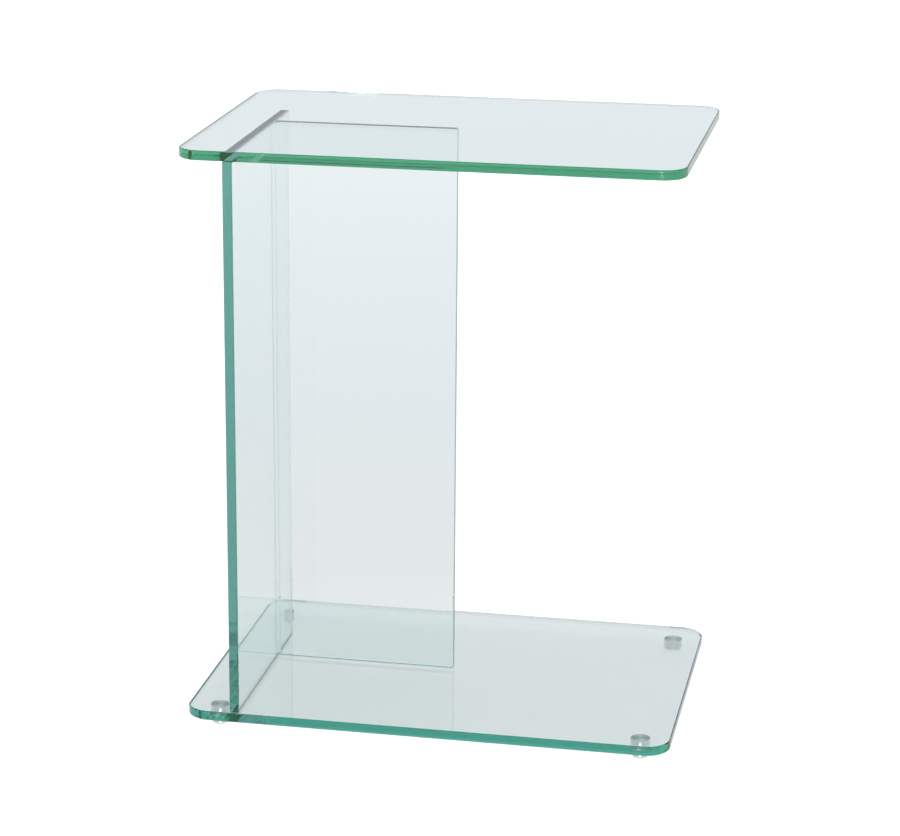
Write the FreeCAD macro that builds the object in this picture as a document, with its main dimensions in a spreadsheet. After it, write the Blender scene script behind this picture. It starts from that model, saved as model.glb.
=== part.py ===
import FreeCAD, Part
import os
import Sketcher

# A C-shaped side table of bonded float glass. The origin is on the floor below the middle of
# the plates, +X runs along the plates towards their free end, +Y to the back and +Z up.

doc = FreeCAD.newDocument("LaptopTable")

# Driving dimensions in millimetres.
SIZES = (
    ("plate_length", 500),
    ("plate_depth", 350),
    ("plate_thickness", 10),
    ("plate_corner_radius", 25),
    ("panel_height", 575),
    ("end_panel_thickness", 10),
    ("end_panel_inset", 49),
    ("end_panel_tail", 58),
    ("web_panel_thickness", 10),
    ("web_panel_length", 191),
    ("arris", 1),
    ("bond_thickness", 0.2),
    ("foot_diameter", 20),
    ("foot_height", 10),
    ("foot_inset", 31),
    ("foot_bevel", 0.5),
    ("pad_diameter", 16),
    ("pad_thickness", 4),
    ("pad_bevel", 0.8),
    ("pad_seat_depth", 1),
    ("pad_seat_clearance", 0.1),
)
sheet = doc.addObject("Spreadsheet::Sheet", "Sizes")
for row, (alias, value) in enumerate(SIZES, start=1):
    sheet.set(f"A{row}", alias)
    sheet.set(f"B{row}", str(value))
    sheet.setAlias(f"B{row}", alias)
doc.recompute()

# Levels above the floor, from the feet up to the top plate.
FOOT_LEVEL = "Sizes.pad_thickness - Sizes.pad_seat_depth"
FOOT_BOND_LEVEL = f"{FOOT_LEVEL} + Sizes.foot_height"
BASE_LEVEL = f"{FOOT_BOND_LEVEL} + Sizes.bond_thickness"
BASE_BOND_LEVEL = f"{BASE_LEVEL} + Sizes.plate_thickness"
PANEL_LEVEL = f"{BASE_BOND_LEVEL} + Sizes.bond_thickness"
TOP_BOND_LEVEL = f"{PANEL_LEVEL} + Sizes.panel_height"
TOP_LEVEL = f"{TOP_BOND_LEVEL} + Sizes.bond_thickness"

# Places along the plates. The end panel stands in from their left end, flush with their front
# edge, and the web panel starts from its right face and stands on the plates' centre line.
END_PANEL_LEFT = "-Sizes.plate_length / 2 + Sizes.end_panel_inset"
END_PANEL_RIGHT = f"{END_PANEL_LEFT} + Sizes.end_panel_thickness"
END_PANEL_FRONT = "-Sizes.plate_depth / 2"
END_PANEL_DEPTH = "Sizes.plate_depth / 2 + Sizes.web_panel_thickness / 2 + Sizes.end_panel_tail"
WEB_PANEL_LEFT = f"{END_PANEL_RIGHT} + Sizes.bond_thickness"
WEB_PANEL_FRONT = "-Sizes.web_panel_thickness / 2"


def place(piece, x, y, z):
    """Bind the piece's position to the sheet."""
    piece.setExpression(".Placement.Base.x", x)
    piece.setExpression(".Placement.Base.y", y)
    piece.setExpression(".Placement.Base.z", z)


def new_body(label):
    """A body that is named for its piece."""
    body = doc.addObject("PartDesign::Body", label)
    body.Label = label
    return body


def flat_sketch(body, name):
    """An empty sketch on the body's own floor plane."""
    sketch = body.newObject("Sketcher::SketchObject", name)
    floor_plane = next(plane for plane in body.Origin.OriginFeatures if plane.Role == "XY_Plane")
    sketch.AttachmentSupport = [(floor_plane, "")]
    sketch.MapMode = "FlatFace"
    return sketch


def draw_rectangle(sketch, width, depth):
    """A rectangle with one corner on the sketch's origin, sized by two expressions."""
    corners = [FreeCAD.Vector(x, y, 0) for x, y in ((0, 0), (1, 0), (1, 1), (0, 1))]
    for number in range(4):
        sketch.addGeometry(Part.LineSegment(corners[number], corners[(number + 1) % 4]))
    for number in range(4):
        sketch.addConstraint(Sketcher.Constraint("Coincident", number, 2, (number + 1) % 4, 1))
    for number, direction in enumerate(("Horizontal", "Vertical", "Horizontal", "Vertical")):
        sketch.addConstraint(Sketcher.Constraint(direction, number))
    sketch.addConstraint(Sketcher.Constraint("Coincident", 0, 1, -1, 1))
    bottom_line, right_line = 0, 1
    width_rule = sketch.addConstraint(Sketcher.Constraint("DistanceX", bottom_line, 1, bottom_line, 2, 1))
    depth_rule = sketch.addConstraint(Sketcher.Constraint("DistanceY", right_line, 1, right_line, 2, 1))
    sketch.setExpression(f"Constraints[{width_rule}]", width)
    sketch.setExpression(f"Constraints[{depth_rule}]", depth)


def draw_circle(sketch, diameter):
    """A circle about the sketch's origin, sized by an expression."""
    circle = sketch.addGeometry(Part.Circle(FreeCAD.Vector(0, 0, 0), FreeCAD.Vector(0, 0, 1), 1))
    sketch.addConstraint(Sketcher.Constraint("Coincident", circle, 3, -1, 1))
    diameter_rule = sketch.addConstraint(Sketcher.Constraint("Diameter", circle, 2))
    sketch.setExpression(f"Constraints[{diameter_rule}]", diameter)


def pad_up(body, sketch, height):
    """The sketch's outline raised to a height."""
    pad = body.newObject("PartDesign::Pad", f"{body.Name}_blank")
    pad.Profile = sketch
    pad.setExpression("Length", height)
    doc.recompute()
    return pad


def level_faces(shape):
    """Names of the shape's lowest and highest flat faces."""
    levels = [(face.CenterOfMass.z, f"Face{number}") for number, face in enumerate(shape.Faces, start=1)]
    return [min(levels)[1], max(levels)[1]]


def upright_edges(shape):
    """Names of the shape's edges that run straight up."""
    names = []
    for number, edge in enumerate(shape.Edges, start=1):
        if abs(edge.tangentAt(edge.FirstParameter).z) > 0.99:
            names.append(f"Edge{number}")
    return names


def bevel(body, base, parts, size):
    """A 45 degree bevel on some edges of the base, or on the rims of its faces."""
    chamfer = body.newObject("PartDesign::Chamfer", f"{body.Name}_bevel")
    chamfer.Base = (base, parts)
    chamfer.setExpression("Size", size)
    doc.recompute()
    return chamfer


def glass_plate(label, level):
    """A plate cut with rounded corners, then ground to an arris along both rims."""
    body = new_body(label)
    outline = flat_sketch(body, f"{label}_outline")
    draw_rectangle(outline, "Sizes.plate_length", "Sizes.plate_depth")
    blank = pad_up(body, outline, "Sizes.plate_thickness")
    rounded = body.newObject("PartDesign::Fillet", f"{label}_corners")
    rounded.Base = (blank, upright_edges(blank.Shape))
    rounded.setExpression("Radius", "Sizes.plate_corner_radius")
    doc.recompute()
    bevel(body, rounded, level_faces(rounded.Shape), "Sizes.arris")
    place(body, "-Sizes.plate_length / 2", "-Sizes.plate_depth / 2", level)
    return body


def glass_panel(label, width, depth, left, front):
    """An upright pane with an arris ground along all its edges."""
    body = new_body(label)
    outline = flat_sketch(body, f"{label}_outline")
    draw_rectangle(outline, width, depth)
    blank = pad_up(body, outline, "Sizes.panel_height")
    every_edge = [f"Edge{number}" for number in range(1, len(blank.Shape.Edges) + 1)]
    bevel(body, blank, every_edge, "Sizes.arris")
    place(body, left, front, PANEL_LEVEL)
    return body


def flat_bond(label, width, depth, height, corner):
    """A film of cured adhesive between two flat faces."""
    film = doc.addObject("Part::Box", label)
    film.Label = label
    film.setExpression("Length", width)
    film.setExpression("Width", depth)
    film.setExpression("Height", height)
    place(film, *corner)
    return film


def foot_disc(label, x, y):
    """A turned disc with a bevelled lower rim and a shallow seat for its pad."""
    body = new_body(label)
    outline = flat_sketch(body, f"{label}_outline")
    draw_circle(outline, "Sizes.foot_diameter")
    blank = pad_up(body, outline, "Sizes.foot_height")
    bevelled = bevel(body, blank, level_faces(blank.Shape)[:1], "Sizes.foot_bevel")
    seat_outline = flat_sketch(body, f"{label}_seat_outline")
    draw_circle(seat_outline, "Sizes.pad_diameter + 2 * Sizes.pad_seat_clearance")
    seat = body.newObject("PartDesign::Pocket", f"{label}_seat")
    seat.Profile = seat_outline
    seat.Reversed = True
    seat.setExpression("Length", "Sizes.pad_seat_depth")
    doc.recompute()
    if not seat.Shape.Volume < bevelled.Shape.Volume:
        raise RuntimeError(f"{label}: the pad's seat cuts nothing")
    place(body, x, y, FOOT_LEVEL)
    return body


def foot_bond(label, x, y):
    """A film of cured adhesive between a foot disc and the base plate."""
    film = doc.addObject("Part::Cylinder", label)
    film.Label = label
    film.setExpression("Radius", "Sizes.foot_diameter / 2")
    film.setExpression("Height", "Sizes.bond_thickness")
    place(film, x, y, FOOT_BOND_LEVEL)
    return film


def foot_pad(label, x, y):
    """A moulded clear pad with a bevelled lower rim, seated in its disc."""
    body = new_body(label)
    outline = flat_sketch(body, f"{label}_outline")
    draw_circle(outline, "Sizes.pad_diameter")
    blank = pad_up(body, outline, "Sizes.pad_thickness")
    bevel(body, blank, level_faces(blank.Shape)[:1], "Sizes.pad_bevel")
    place(body, x, y, "0")
    return body


pieces = [
    glass_plate("base_plate", BASE_LEVEL),
    glass_plate("top_plate", TOP_LEVEL),
    glass_panel("end_panel", "Sizes.end_panel_thickness", END_PANEL_DEPTH, END_PANEL_LEFT, END_PANEL_FRONT),
    glass_panel("web_panel", "Sizes.web_panel_length", "Sizes.web_panel_thickness",
                WEB_PANEL_LEFT, WEB_PANEL_FRONT),
]

# The adhesive covers the flat of each upright's edge, inside its arris, so the films under and
# over an upright are alike, and the upright film lies between the web panel and the end panel.
for bond_end, bond_level in (("base", BASE_BOND_LEVEL), ("top", TOP_BOND_LEVEL)):
    pieces.append(flat_bond(
        f"end_panel_{bond_end}_bond",
        "Sizes.end_panel_thickness - 2 * Sizes.arris",
        f"{END_PANEL_DEPTH} - 2 * Sizes.arris",
        "Sizes.bond_thickness",
        (f"{END_PANEL_LEFT} + Sizes.arris", f"{END_PANEL_FRONT} + Sizes.arris", bond_level),
    ))
    pieces.append(flat_bond(
        f"web_panel_{bond_end}_bond",
        "Sizes.web_panel_length - 2 * Sizes.arris",
        "Sizes.web_panel_thickness - 2 * Sizes.arris",
        "Sizes.bond_thickness",
        (f"{WEB_PANEL_LEFT} + Sizes.arris", f"{WEB_PANEL_FRONT} + Sizes.arris", bond_level),
    ))
pieces.append(flat_bond(
    "web_to_end_panel_bond",
    "Sizes.bond_thickness",
    "Sizes.web_panel_thickness - 2 * Sizes.arris",
    "Sizes.panel_height - 2 * Sizes.arris",
    (END_PANEL_RIGHT, f"{WEB_PANEL_FRONT} + Sizes.arris", f"{PANEL_LEVEL} + Sizes.arris"),
))

# One foot stands in from each corner of the base plate.
FOOT_SIDES = (
    ("front_left", "-", "-"),
    ("front_right", "", "-"),
    ("back_left", "-", ""),
    ("back_right", "", ""),
)
for corner_name, x_sign, y_sign in FOOT_SIDES:
    foot_x = f"{x_sign}(Sizes.plate_length / 2 - Sizes.foot_inset)"
    foot_y = f"{y_sign}(Sizes.plate_depth / 2 - Sizes.foot_inset)"
    pieces.append(foot_disc(f"foot_disc_{corner_name}", foot_x, foot_y))
    pieces.append(foot_bond(f"foot_bond_{corner_name}", foot_x, foot_y))
    pieces.append(foot_pad(f"foot_pad_{corner_name}", foot_x, foot_y))

doc.recompute()
for item in doc.Objects:
    if "Invalid" in item.State or "Error" in item.State:
        raise RuntimeError(f"{item.Label} failed: {item.State}")
for piece in pieces:
    if piece.Shape.isNull() or not piece.Shape.isValid():
        raise RuntimeError(f"{piece.Label} has no valid shape")

os.makedirs("parts", exist_ok=True)
for piece in pieces:
    piece.Shape.exportStep(f"parts/{piece.Label}.step")
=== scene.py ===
import math

import bmesh
import bpy
from mathutils import Matrix, Vector


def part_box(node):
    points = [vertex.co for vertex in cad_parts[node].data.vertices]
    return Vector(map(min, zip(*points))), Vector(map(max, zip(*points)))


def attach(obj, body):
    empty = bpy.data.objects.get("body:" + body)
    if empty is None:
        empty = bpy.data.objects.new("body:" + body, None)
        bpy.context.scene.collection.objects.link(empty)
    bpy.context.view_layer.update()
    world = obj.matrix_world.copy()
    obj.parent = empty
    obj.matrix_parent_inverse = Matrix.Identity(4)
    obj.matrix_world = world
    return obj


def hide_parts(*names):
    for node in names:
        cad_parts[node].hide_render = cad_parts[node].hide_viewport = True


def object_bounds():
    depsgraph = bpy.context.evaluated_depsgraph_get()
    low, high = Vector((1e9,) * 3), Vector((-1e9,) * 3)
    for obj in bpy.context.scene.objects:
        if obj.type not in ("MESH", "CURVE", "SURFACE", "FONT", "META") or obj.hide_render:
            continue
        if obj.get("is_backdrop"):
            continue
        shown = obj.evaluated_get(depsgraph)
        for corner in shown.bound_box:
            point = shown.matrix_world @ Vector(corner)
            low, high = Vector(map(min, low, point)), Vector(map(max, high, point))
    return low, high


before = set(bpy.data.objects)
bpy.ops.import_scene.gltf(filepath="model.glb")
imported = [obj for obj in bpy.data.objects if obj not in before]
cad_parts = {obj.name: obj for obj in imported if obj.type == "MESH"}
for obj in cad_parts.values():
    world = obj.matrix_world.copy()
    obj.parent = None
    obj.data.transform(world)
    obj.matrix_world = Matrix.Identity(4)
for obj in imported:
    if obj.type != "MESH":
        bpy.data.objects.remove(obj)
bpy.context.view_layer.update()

# Foot pads: small discs of clear soft vinyl that keep the feet from sliding and from marking the
# floor. They are moulded, with a rounded lower rim, and pressed into a seat under each foot.
MM = 0.001
FOOT_CORNERS = ("front_left", "front_right", "back_left", "back_right")
TURN_STEPS = 96
PAD_RIM_RADIUS = 0.8 * MM
RIM_STEPS = 6
SMOOTH_ANGLE = math.radians(25)


def linear(hex_colour):
    """A linear RGBA colour from an sRGB hex value."""
    channels = [int(hex_colour[start:start + 2], 16) / 255 for start in (1, 3, 5)]
    return [c / 12.92 if c <= 0.04045 else ((c + 0.055) / 1.055) ** 2.4 for c in channels] + [1.0]


def new_material(name):
    """An empty node material and its tree."""
    material = bpy.data.materials.new(name)
    material.use_nodes = True
    material.node_tree.nodes.clear()
    return material, material.node_tree


def add_node(tree, kind, inputs, **settings):
    """A node with its own settings. Each input is a plain value, or the socket that feeds it."""
    node = tree.nodes.new("ShaderNode" + kind)
    for name, value in settings.items():
        setattr(node, name, value)
    for name, value in inputs.items():
        if isinstance(value, bpy.types.NodeSocket):
            tree.links.new(value, node.inputs[name])
        else:
            node.inputs[name].default_value = value
    return node


def make_piece(name, bm, material):
    """A piece from a finished bmesh, smooth except at its real edges."""
    bmesh.ops.recalc_face_normals(bm, faces=bm.faces)
    for face in bm.faces:
        face.smooth = True
    for edge in bm.edges:
        edge.smooth = edge.calc_face_angle(0) < SMOOTH_ANGLE
    mesh = bpy.data.meshes.new(name)
    bm.to_mesh(mesh)
    bm.free()
    mesh.materials.append(material)
    piece = bpy.data.objects.new(name, mesh)
    bpy.context.scene.collection.objects.link(piece)
    return piece


def turn_solid(centre, profile):
    """A solid turned about an upright axis, from a profile of radii and heights that ends on the axis."""
    bm = bmesh.new()
    rings = []
    for radius, height in profile:
        steps = TURN_STEPS if radius > 0 else 1
        turns = [2 * math.pi * step / steps for step in range(steps)]
        rings.append([
            bm.verts.new((centre.x + radius * math.cos(turn), centre.y + radius * math.sin(turn), height))
            for turn in turns
        ])
    for lower, upper in zip(rings, rings[1:]):
        for step in range(TURN_STEPS):
            corners = [ring[(step + ahead) % len(ring)]
                       for ring, ahead in ((lower, 0), (lower, 1), (upper, 1), (upper, 0))]
            bm.faces.new(dict.fromkeys(corners))
    return bm


def quarter_round(radius, height, size, start):
    """Profile points of a rounded rim of that size, from the angle start through a quarter turn."""
    turns = [start + math.pi / 2 * step / RIM_STEPS for step in range(RIM_STEPS + 1)]
    return [(radius + size * math.cos(turn), height + size * math.sin(turn)) for turn in turns]


def clear_vinyl():
    """Moulded clear vinyl: a soft plastic, hazy inside, with a fine satin skin that scatters light."""
    material, tree = new_material("moulded_clear_vinyl")
    skin_grain = 0.6 * MM
    coords = add_node(tree, "TexCoord", {})
    grain = add_node(tree, "TexNoise", {
        "Vector": coords.outputs["Object"], "Scale": 1 / skin_grain, "Detail": 3.0})
    haze = add_node(tree, "MapRange", {
        "Value": grain.outputs["Fac"], "To Min": 0.15, "To Max": 0.3})
    dents = add_node(tree, "Bump", {
        "Height": grain.outputs["Fac"], "Strength": 0.15, "Distance": 0.02 * MM})
    skin = add_node(tree, "BsdfPrincipled", {
        "Base Color": linear("#FBFCFC"),
        "IOR": 1.53,
        "Transmission Weight": 0.95,
        "Roughness": haze.outputs["Result"],
        "Normal": dents.outputs["Normal"],
    })
    add_node(tree, "OutputMaterial", {"Surface": skin.outputs["BSDF"]})
    return material


pad_material = clear_vinyl()
for corner in FOOT_CORNERS:
    low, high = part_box(f"foot_pad_{corner}")
    radius = (high.x - low.x) / 2
    rim_radius = radius - PAD_RIM_RADIUS
    profile = [(0, low.z)]
    profile += quarter_round(rim_radius, low.z + PAD_RIM_RADIUS, PAD_RIM_RADIUS, -math.pi / 2)
    profile += [(radius, high.z), (0, high.z)]
    pad = make_piece(f"clear_pad_{corner}", turn_solid((low + high) / 2, profile), pad_material)
    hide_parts(f"foot_pad_{corner}")
    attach(pad, "root")

# Foot discs: turned stainless steel, faced on a lathe so that the top shows a spun fan of light
# through the glass. A shallow seat underneath holds the pad, and both rims are broken.
FOOT_TOP_BREAK = 0.25 * MM
FOOT_LOW_BEVEL = 0.5 * MM
PAD_SEAT_CLEARANCE = 0.1 * MM


def turned_steel(size):
    """Turned stainless steel: grey, with fine concentric tool marks that stretch every highlight
    into a fan about the axis. The marks are drawn coarser than a lathe leaves them, to show."""
    material, tree = new_material("turned_stainless_steel")
    tool_mark_pitch = 2.55 * MM
    rings_per_metre_at_scale_one = 20 / (2 * math.pi)
    blotch_size = 3 * MM
    coords = add_node(tree, "TexCoord", {})
    middle = add_node(tree, "VectorMath", {
        0: coords.outputs["Generated"], 1: (0.5, 0.5, 0.5)}, operation="SUBTRACT")
    place = add_node(tree, "VectorMath", {
        0: middle.outputs["Vector"], 1: tuple(size)}, operation="MULTIPLY")
    marks = add_node(tree, "TexWave", {
        "Vector": place.outputs["Vector"],
        "Scale": 1 / (tool_mark_pitch * rings_per_metre_at_scale_one),
        "Distortion": 0.6,
        "Detail": 2.0,
        "Detail Scale": 3.0,
    }, wave_type="RINGS", rings_direction="Z")
    blotches = add_node(tree, "TexNoise", {
        "Vector": place.outputs["Vector"], "Scale": 1 / blotch_size, "Detail": 4.0})
    polish = add_node(tree, "MapRange", {
        "Value": blotches.outputs["Fac"], "To Min": 0.36, "To Max": 0.44})
    grooves = add_node(tree, "Bump", {
        "Height": marks.outputs["Fac"], "Strength": 0.2, "Distance": 0.01 * MM})
    about_axis = add_node(tree, "Tangent", {}, direction_type="RADIAL", axis="Z")
    steel = add_node(tree, "BsdfPrincipled", {
        "Base Color": linear("#EEEEEC"),
        "Metallic": 1.0,
        "Roughness": polish.outputs["Result"],
        "Anisotropic": 1.0,
        "Anisotropic Rotation": 0.25,
        "Normal": grooves.outputs["Normal"],
        "Tangent": about_axis.outputs["Tangent"],
    })
    add_node(tree, "OutputMaterial", {"Surface": steel.outputs["BSDF"]})
    return material


foot_low, foot_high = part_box("foot_disc_front_left")
steel_material = turned_steel(foot_high - foot_low)
for corner in FOOT_CORNERS:
    low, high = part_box(f"foot_disc_{corner}")
    pad_low, pad_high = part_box(f"foot_pad_{corner}")
    radius = (high.x - low.x) / 2
    seat_radius = (pad_high.x - pad_low.x) / 2 + PAD_SEAT_CLEARANCE
    profile = [
        (0, pad_high.z),
        (seat_radius, pad_high.z),
        (seat_radius, low.z),
        (radius - FOOT_LOW_BEVEL, low.z),
        (radius, low.z + FOOT_LOW_BEVEL),
    ]
    profile += quarter_round(radius - FOOT_TOP_BREAK, high.z - FOOT_TOP_BREAK, FOOT_TOP_BREAK, 0)
    profile += [(0, high.z)]
    disc = make_piece(f"turned_foot_{corner}", turn_solid((low + high) / 2, profile), steel_material)
    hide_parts(f"foot_disc_{corner}")
    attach(disc, "root")

# Adhesive films: a clear acrylic that was run into the joints and cured under ultraviolet light.
# One holds each foot to the base plate, and one lies in every joint between two panes.
FILM_CLEARANCE = 0.03 * MM
PANE_BONDS = (
    "end_panel_base_bond",
    "end_panel_top_bond",
    "web_panel_base_bond",
    "web_panel_top_bond",
    "web_to_end_panel_bond",
)


def cured_adhesive(name, least_haze, most_haze):
    """Cured acrylic adhesive: it joins the panes so that light passes between them unbent, with a
    faint grey haze of fine bubbles that scatters a little of it."""
    material, tree = new_material(name)
    bubble_spacing = 1.2 * MM
    coords = add_node(tree, "TexCoord", {})
    bubbles = add_node(tree, "TexNoise", {
        "Vector": coords.outputs["Object"], "Scale": 1 / bubble_spacing, "Detail": 4.0})
    cloud = add_node(tree, "MapRange", {
        "Value": bubbles.outputs["Fac"], "To Min": least_haze, "To Max": most_haze})
    haze = add_node(tree, "BsdfDiffuse", {"Color": linear("#98A0A3")})
    clear = add_node(tree, "BsdfTransparent", {"Color": linear("#FFFFFF")})
    film = add_node(tree, "MixShader", {
        0: cloud.outputs["Result"], 1: clear.outputs["BSDF"], 2: haze.outputs["BSDF"]})
    add_node(tree, "OutputMaterial", {"Surface": film.outputs["Shader"]})
    return material


def thinnest_axis(size):
    """The axis along which a flat piece is thinnest."""
    return min(range(3), key=lambda axis: size[axis])


def square_block(centre, size):
    """A plain block, as a bmesh."""
    bm = bmesh.new()
    bmesh.ops.create_cube(bm, matrix=Matrix.Translation(centre) @ Matrix.Diagonal((*size, 1)))
    return bm


def film_block(node):
    """The film's own box, drawn in from the faces that it joins by a hair."""
    low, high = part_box(node)
    size = high - low
    size[thinnest_axis(size)] -= 2 * FILM_CLEARANCE
    return square_block((low + high) / 2, size)


pane_film_material = cured_adhesive("cured_acrylic_adhesive_panes", least_haze=0.07, most_haze=0.16)
for node in PANE_BONDS:
    film = make_piece(f"film_{node}", film_block(node), pane_film_material)
    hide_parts(node)
    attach(film, "root")
foot_film_material = cured_adhesive("cured_acrylic_adhesive_feet", least_haze=0.01, most_haze=0.04)
for corner in FOOT_CORNERS:
    node = f"foot_bond_{corner}"
    low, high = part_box(node)
    radius = (high.x - low.x) / 2 - FOOT_TOP_BREAK
    profile = [
        (0, low.z + FILM_CLEARANCE),
        (radius, low.z + FILM_CLEARANCE),
        (radius, high.z - FILM_CLEARANCE),
        (0, high.z - FILM_CLEARANCE),
    ]
    film = make_piece(f"film_{node}", turn_solid((low + high) / 2, profile), foot_film_material)
    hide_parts(node)
    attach(film, "root")

# Base plate: clear float glass, cut with rounded corners and flat polished, with an arris ground
# along both rims. The feet are bonded under it and the uprights on it.
PLATE_CORNER_RADIUS = 25 * MM
ARRIS = 1.0 * MM
CORNER_STEPS = 32
BOND_EDGE_GAP = 0.1 * MM
GLASS_IOR = 1.52
EDGE_ROUGHNESS = 0.05
X_AXIS, Z_AXIS = 0, 2
FACE_RISE = 0.9
ARRIS_RISE = 0.3


def float_glass(name, iron_tint_colour, iron_tint_density):
    """Clear float glass: nearly colourless through its thickness and green along it, because iron in
    the glass takes red first. Faces are fire polished and faintly smeared, edges a little coarser
    from the wheel. Where it is bonded it doesn't bend light, so the next pane shows straight on."""
    material, tree = new_material(name)
    smear_size = 70 * MM
    coords = add_node(tree, "TexCoord", {})
    smears = add_node(tree, "TexNoise", {
        "Vector": coords.outputs["Object"], "Scale": 1 / smear_size, "Detail": 5.0, "Roughness": 0.6})
    polish = add_node(tree, "MapRange", {
        "Value": smears.outputs["Fac"], "From Min": 0.45, "From Max": 0.75, "To Min": 0.0, "To Max": 0.02})
    edge = add_node(tree, "Attribute", {}, attribute_name="edge")
    wheel_polish = add_node(tree, "Math", {
        0: edge.outputs["Fac"], 1: EDGE_ROUGHNESS, 2: polish.outputs["Result"]}, operation="MULTIPLY_ADD")
    bonded = add_node(tree, "Attribute", {}, attribute_name="bonded")
    roughness = add_node(tree, "MapRange", {
        "Value": bonded.outputs["Fac"], "To Min": wheel_polish.outputs["Value"], "To Max": 0.0})
    bending = add_node(tree, "MapRange", {
        "Value": bonded.outputs["Fac"], "To Min": GLASS_IOR, "To Max": 1.0})
    glass = add_node(tree, "BsdfPrincipled", {
        "Base Color": linear("#FFFFFF"),
        "IOR": bending.outputs["Result"],
        "Transmission Weight": 1.0,
        "Roughness": roughness.outputs["Result"],
    })
    iron_tint = add_node(tree, "VolumeAbsorption", {
        "Color": linear(iron_tint_colour), "Density": iron_tint_density})
    add_node(tree, "OutputMaterial", {
        "Surface": glass.outputs["BSDF"], "Volume": iron_tint.outputs["Volume"]})
    return material


def bond_outline(node, across):
    """Corners of the patch that a film covers, on the plane square to the axis across."""
    low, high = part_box(node)
    first, second = (axis for axis in range(3) if axis != across)
    inset = BOND_EDGE_GAP
    return [
        (low[first] + inset, low[second] + inset),
        (high[first] - inset, low[second] + inset),
        (high[first] - inset, high[second] - inset),
        (low[first] + inset, high[second] - inset),
    ]


def disc_outline(node):
    """Points round the patch that a foot's film covers."""
    low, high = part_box(node)
    centre = (low + high) / 2
    radius = (high.x - low.x) / 2 - FOOT_TOP_BREAK
    turns = [2 * math.pi * step / TURN_STEPS for step in range(TURN_STEPS)]
    return [(centre.x + radius * math.cos(turn), centre.y + radius * math.sin(turn)) for turn in turns]


def let_in_bonds(bm, face, across, outlines):
    """Refills a flat face so that each outline on it is a face of its own, marked as bonded."""
    bonded = bm.faces.layers.float["bonded"]
    level = face.calc_center_median()[across]
    normal = face.normal.copy()
    rim = list(face.edges)
    bm.faces.remove(face)
    for outline in outlines:
        corners = []
        for first, second in outline:
            point = [first, second]
            point.insert(across, level)
            corners.append(bm.verts.new(point))
        patch = bm.faces.new(corners)
        patch[bonded] = 1.0
        rim += patch.edges
    bmesh.ops.triangle_fill(bm, edges=rim, normal=normal, use_beauty=True)


def plate_rim(low, high, inset, level):
    """Points round the plate's outline, drawn in by the inset, at a level."""
    radius = PLATE_CORNER_RADIUS - inset
    points = []
    for corner_x, corner_y, start in (
        (high.x - PLATE_CORNER_RADIUS, high.y - PLATE_CORNER_RADIUS, 0),
        (low.x + PLATE_CORNER_RADIUS, high.y - PLATE_CORNER_RADIUS, 1),
        (low.x + PLATE_CORNER_RADIUS, low.y + PLATE_CORNER_RADIUS, 2),
        (high.x - PLATE_CORNER_RADIUS, low.y + PLATE_CORNER_RADIUS, 3),
    ):
        for step in range(CORNER_STEPS + 1):
            turn = math.pi / 2 * (start + step / CORNER_STEPS)
            points.append((corner_x + radius * math.cos(turn), corner_y + radius * math.sin(turn), level))
    return points


def true_rim_normals(mesh, low, high):
    """Shades the rounded corners as true arcs and the flats as true flats."""
    normals = []
    for polygon in mesh.polygons:
        rise = polygon.normal.z
        for index in polygon.vertices:
            place = mesh.vertices[index].co
            inner = Vector((
                min(max(place.x, low.x + PLATE_CORNER_RADIUS), high.x - PLATE_CORNER_RADIUS),
                min(max(place.y, low.y + PLATE_CORNER_RADIUS), high.y - PLATE_CORNER_RADIUS),
                place.z,
            ))
            outward = (place - inner).normalized()
            if abs(rise) > FACE_RISE:
                normals.append(Vector((0, 0, math.copysign(1, rise))))
            elif abs(rise) > ARRIS_RISE:
                normals.append((outward + Vector((0, 0, math.copysign(1, rise)))).normalized())
            else:
                normals.append(outward)
    mesh.normals_split_custom_set(normals)


def glass_plate(name, node, material, upper_bonds, lower_bonds):
    """A plate with rounded corners and an arris along both rims, with its bonded patches let in."""
    low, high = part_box(node)
    bm = bmesh.new()
    bm.faces.layers.float.new("bonded")
    edge = bm.faces.layers.float.new("edge")
    rings = []
    for inset, level in ((ARRIS, low.z), (0, low.z + ARRIS), (0, high.z - ARRIS), (ARRIS, high.z)):
        rings.append([bm.verts.new(point) for point in plate_rim(low, high, inset, level)])
    for lower, upper in zip(rings, rings[1:]):
        for step in range(len(lower)):
            ahead = (step + 1) % len(lower)
            side = bm.faces.new((lower[step], lower[ahead], upper[ahead], upper[step]))
            side[edge] = 1.0
    for ring, outlines in ((rings[0][::-1], lower_bonds), (rings[-1], upper_bonds)):
        cap = bm.faces.new(ring)
        cap.normal_update()
        if outlines:
            let_in_bonds(bm, cap, Z_AXIS, outlines)
    plate = make_piece(name, bm, material)
    true_rim_normals(plate.data, low, high)
    return plate


base = glass_plate(
    "glass_base",
    "base_plate",
    float_glass("polished_float_glass_base", iron_tint_colour="#00DACA", iron_tint_density=7.3),
    upper_bonds=[bond_outline(node, Z_AXIS) for node in ("end_panel_base_bond", "web_panel_base_bond")],
    lower_bonds=[disc_outline(f"foot_bond_{corner}") for corner in FOOT_CORNERS],
)
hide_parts("base_plate")
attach(base, "root")

# End panel: an upright pane of the same glass, bonded on edge between the plates near their left
# ends and flush with their front. All its edges are polished with an arris.
UP, DOWN = Vector((0, 0, 1)), Vector((0, 0, -1))
LEFT, RIGHT = Vector((-1, 0, 0)), Vector((1, 0, 0))
SQUARE_ON = 0.99


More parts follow.
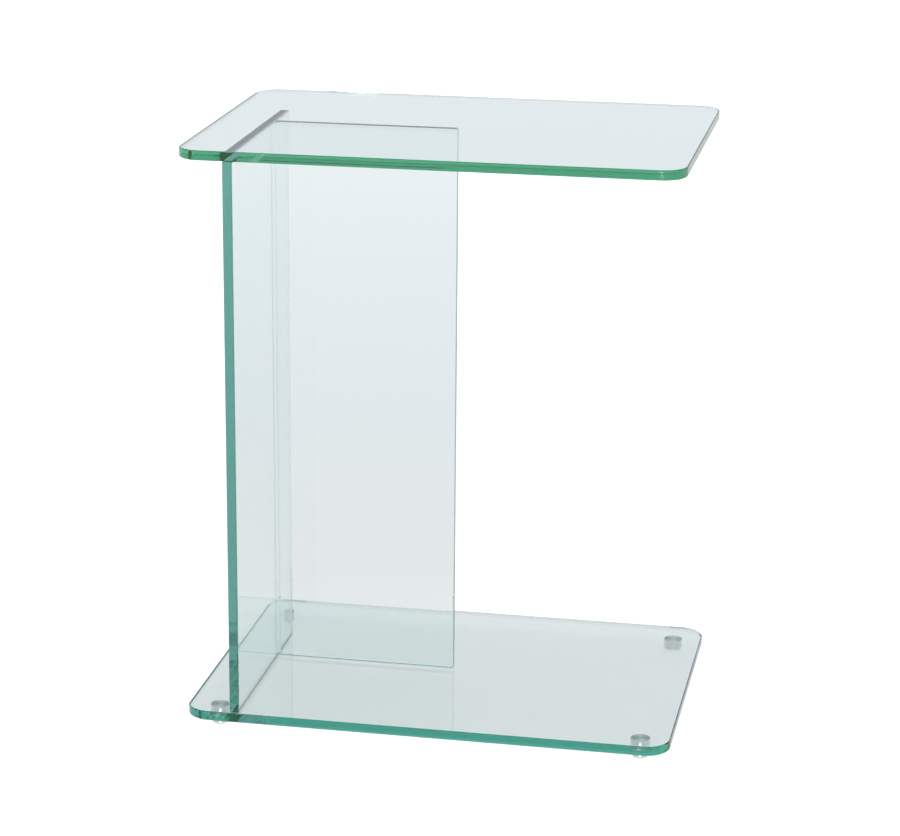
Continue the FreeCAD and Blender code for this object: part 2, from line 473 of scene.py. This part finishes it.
def glass_panel(node, bonded_sides):
    """An upright pane with an arris along every edge, as a bmesh whose bonded sides are marked."""
    low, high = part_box(node)
    size = high - low
    across = thinnest_axis(size)
    bm = square_block((low + high) / 2, size)
    bonded = bm.faces.layers.float.new("bonded")
    edge = bm.faces.layers.float.new("edge")
    bmesh.ops.bevel(bm, geom=bm.edges[:], offset=ARRIS, offset_type="OFFSET", segments=1, profile=0.5,
                    affect="EDGES", clamp_overlap=True)
    bm.normal_update()
    for face in bm.faces:
        if abs(face.normal[across]) < SQUARE_ON:
            face[edge] = 1.0
        if any(face.normal.dot(side) > SQUARE_ON for side in bonded_sides):
            face[bonded] = 1.0
    return bm


upright_glass = float_glass(
    "polished_float_glass_uprights", iron_tint_colour="#00C4B7", iron_tint_density=8.25)
end_panel_mesh = glass_panel("end_panel", (UP, DOWN))
right_face = next(face for face in end_panel_mesh.faces if face.normal.dot(RIGHT) > SQUARE_ON)
let_in_bonds(end_panel_mesh, right_face, X_AXIS, [bond_outline("web_to_end_panel_bond", X_AXIS)])
end_panel = make_piece("glass_end_panel", end_panel_mesh, upright_glass)
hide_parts("end_panel")
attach(end_panel, "root")

# Web panel: a second upright pane, bonded on edge to the middle of the end panel and to both
# plates, which keeps the table from racking. It stops half way along the plates.
web_panel_mesh = glass_panel("web_panel", (UP, DOWN, LEFT))
web_panel = make_piece("glass_web_panel", web_panel_mesh, upright_glass)
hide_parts("web_panel")
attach(web_panel, "root")

# Top plate: cut from the same pattern as the base plate and bonded on the upper edges of the two
# uprights, so that its right half stands free over a seat. Its glass is a greener melt.
top = glass_plate(
    "glass_top",
    "top_plate",
    float_glass("polished_float_glass_top", iron_tint_colour="#00D7AD", iron_tint_density=7.4),
    upper_bonds=[],
    lower_bonds=[bond_outline(node, Z_AXIS) for node in ("end_panel_top_bond", "web_panel_top_bond")],
)
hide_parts("top_plate")
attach(top, "root")

# Studio: a wide floor of white paper in a pale surround that is darker in front, a strip lamp low in
# front that draws a streak on the feet, and a wide soft lamp overhead. The camera sees floor and
# surround as white, and glass and metal show them a little greyer.
FLOOR_HALF = 15.0
FLOOR_FALL_OFF = 4.0
FLOOR_LIFT_IN_VIEW = 0.6
scene = bpy.context.scene


def white_sweep():
    """Matt white paper with a glow of its own: it takes the table's soft shadow and stays white in view.
    Glass and metal show the glow a little greyer, and it lights nothing else. The glow itself is painted
    darker within about a metre of the table, a painted shadow of the glass, and lighter further out."""
    material, tree = new_material("matt_white_paper")
    fibre_size = 2 * MM
    coords = add_node(tree, "TexCoord", {})
    fibres = add_node(tree, "TexNoise", {
        "Vector": coords.outputs["Object"], "Scale": 1 / fibre_size, "Detail": 2.0})
    tone = add_node(tree, "MapRange", {
        "Value": fibres.outputs["Fac"], "To Min": 0.29, "To Max": 0.31})
    paper = add_node(tree, "BsdfDiffuse", {"Color": tone.outputs["Result"]})
    path = add_node(tree, "LightPath", {})
    seen_or_mirrored = add_node(tree, "Math", {
        0: path.outputs["Is Camera Ray"], 1: path.outputs["Is Glossy Ray"]}, operation="MAXIMUM")
    seen = add_node(tree, "Math", {
        0: seen_or_mirrored.outputs["Value"], 1: path.outputs["Is Transmission Ray"]}, operation="MAXIMUM")
    distance = add_node(tree, "VectorMath", {0: coords.outputs["Object"]}, operation="LENGTH")
    reach = add_node(tree, "MapRange", {"Value": distance.outputs["Value"], "From Max": FLOOR_FALL_OFF})
    # Painted shade: the glow's colour is darker near the table, a painted shadow under and around the
    # glass, and grows lighter with distance.
    glow_tone_with_painted_shade = add_node(tree, "ValToRGB", {"Fac": reach.outputs["Result"]})
    for stop, (share, colour) in enumerate((
        (0.05, "#D5D4D4"),
        (0.1, "#CECDCE"),
        (0.25, "#CCCED1"),
        (0.55, "#D6D8DC"),
        (0.9, "#E3E4E5"),
    )):
        if stop > 1:
            glow_tone_with_painted_shade.color_ramp.elements.new(share)
        glow_tone_with_painted_shade.color_ramp.elements[stop].position = share
        glow_tone_with_painted_shade.color_ramp.elements[stop].color = linear(colour)
    lift = add_node(tree, "Math", {
        0: path.outputs["Is Camera Ray"], 1: FLOOR_LIFT_IN_VIEW, 2: 1.0}, operation="MULTIPLY_ADD")
    strength = add_node(tree, "Math", {
        0: seen.outputs["Value"], 1: lift.outputs["Value"]}, operation="MULTIPLY")
    glow = add_node(tree, "Emission", {
        "Color": glow_tone_with_painted_shade.outputs["Color"], "Strength": strength.outputs["Value"]})
    lit = add_node(tree, "AddShader", {0: paper.outputs["BSDF"], 1: glow.outputs["Emission"]})
    add_node(tree, "OutputMaterial", {"Surface": lit.outputs["Shader"]})
    return material


floor_mesh = bmesh.new()
bmesh.ops.create_grid(floor_mesh, x_segments=1, y_segments=1, size=FLOOR_HALF)
floor = make_piece("studio_floor", floor_mesh, white_sweep())
floor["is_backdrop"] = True

world = bpy.data.worlds.new("white_surround")
world.use_nodes = True
sky = world.node_tree
sky.nodes.clear()
directions = add_node(sky, "TexCoord", {})
bearing = add_node(sky, "SeparateXYZ", {"Vector": directions.outputs["Generated"]})
height_tone = add_node(sky, "ValToRGB", {"Fac": bearing.outputs["Z"]})
height_tone.color_ramp.interpolation = "EASE"
for stop, (height, colour) in enumerate((
    (0.0, "#E6EAF1"),
    (0.2, "#E2E4ED"),
    (0.4, "#CAD7DD"),
    (0.6, "#DDE4E8"),
    (0.9, "#F2F4F5"),
)):
    if stop > 1:
        height_tone.color_ramp.elements.new(height)
    height_tone.color_ramp.elements[stop].position = height
    height_tone.color_ramp.elements[stop].color = linear(colour)
back_share = add_node(sky, "MapRange", {
    "Value": bearing.outputs["Y"], "From Min": -0.6, "From Max": 0.5, "To Min": 0.4, "To Max": 1.0},
    interpolation_type="SMOOTHSTEP")
sky_path = add_node(sky, "LightPath", {})
sky_strength = add_node(sky, "MapRange", {
    "Value": sky_path.outputs["Is Camera Ray"], "To Min": back_share.outputs["Result"], "To Max": 1.0})
sky_colour = add_node(sky, "MixRGB", {
    "Fac": sky_path.outputs["Is Camera Ray"],
    "Color1": height_tone.outputs["Color"],
    "Color2": linear("#FFFFFF"),
})
backdrop = add_node(sky, "Background", {
    "Color": sky_colour.outputs["Color"], "Strength": sky_strength.outputs["Result"]})
add_node(sky, "OutputWorld", {"Surface": backdrop.outputs["Background"]})
scene.world = world

# The strip lights the table alone and doesn't show through glass, because its face and its glare on
# the floor would hide the panes from behind.
off_floor = bpy.data.collections.new("not_lit_by_strip")
off_floor.objects.link(floor)
off_floor.collection_objects[0].light_linking.link_state = "EXCLUDE"
for lamp_name, place, target, width, height, power, table_only in (
    ("front_strip", (0.55, -3.0, 0.27), (0, 0, 0.1), 1.0, 0.45, 36.0, True),
    ("overhead_softbox", (-0.1, 0.5, 2.7), (0, 0, 0), 2.8, 2.4, 15.0, False),
):
    lamp_data = bpy.data.lights.new(lamp_name, "AREA")
    lamp_data.shape = "RECTANGLE"
    lamp_data.size = width
    lamp_data.size_y = height
    lamp_data.energy = power
    lamp = bpy.data.objects.new(lamp_name, lamp_data)
    lamp.location = place
    lamp.visible_camera = False
    lamp.rotation_euler = (Vector(target) - lamp.location).to_track_quat("-Z", "Y").to_euler()
    scene.collection.objects.link(lamp)
    if table_only:
        lamp.visible_transmission = False
        lamp.light_linking.receiver_collection = off_floor

# Camera: where the photograph was taken from, in front and to the right, a little above the top.
IMAGE_WIDTH, IMAGE_HEIGHT = 900, 836
FOCAL_PIXELS = 2932.8
MIDDLE_X, MIDDLE_Y = 391.277, 417.393
CAMERA_PLACE = Vector((532.18, -2885.67, 1164.22)) * MM
YAW, PITCH, ROLL = 0.20503, 0.28613, 0.00217
SENSOR_WIDTH = 36.0
RAY_BOUNCES = 48

camera_data = bpy.data.cameras.new("photo_camera")
camera = bpy.data.objects.new("photo_camera", camera_data)
scene.collection.objects.link(camera)
camera_data.sensor_width = SENSOR_WIDTH
camera_data.lens = FOCAL_PIXELS / IMAGE_WIDTH * SENSOR_WIDTH
camera_data.shift_x = ((IMAGE_WIDTH - 1) / 2 - MIDDLE_X) / IMAGE_WIDTH
camera_data.shift_y = (MIDDLE_Y - (IMAGE_HEIGHT - 1) / 2) / IMAGE_WIDTH
ahead = Vector((-math.sin(YAW) * math.cos(PITCH), math.cos(YAW) * math.cos(PITCH), -math.sin(PITCH)))
level_right = Vector((math.cos(YAW), math.sin(YAW), 0))
level_up = level_right.cross(ahead)
right = level_right * math.cos(ROLL) + level_up * math.sin(ROLL)
upward = level_up * math.cos(ROLL) - level_right * math.sin(ROLL)
turned = Matrix((right, upward, -ahead)).transposed()
camera.matrix_world = Matrix.Translation(CAMERA_PLACE) @ turned.to_4x4()
scene.camera = camera

scene.view_settings.view_transform = "Standard"
scene.cycles.max_bounces = RAY_BOUNCES
scene.cycles.glossy_bounces = RAY_BOUNCES
scene.cycles.transmission_bounces = RAY_BOUNCES
scene.cycles.transparent_max_bounces = RAY_BOUNCES

low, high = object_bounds()
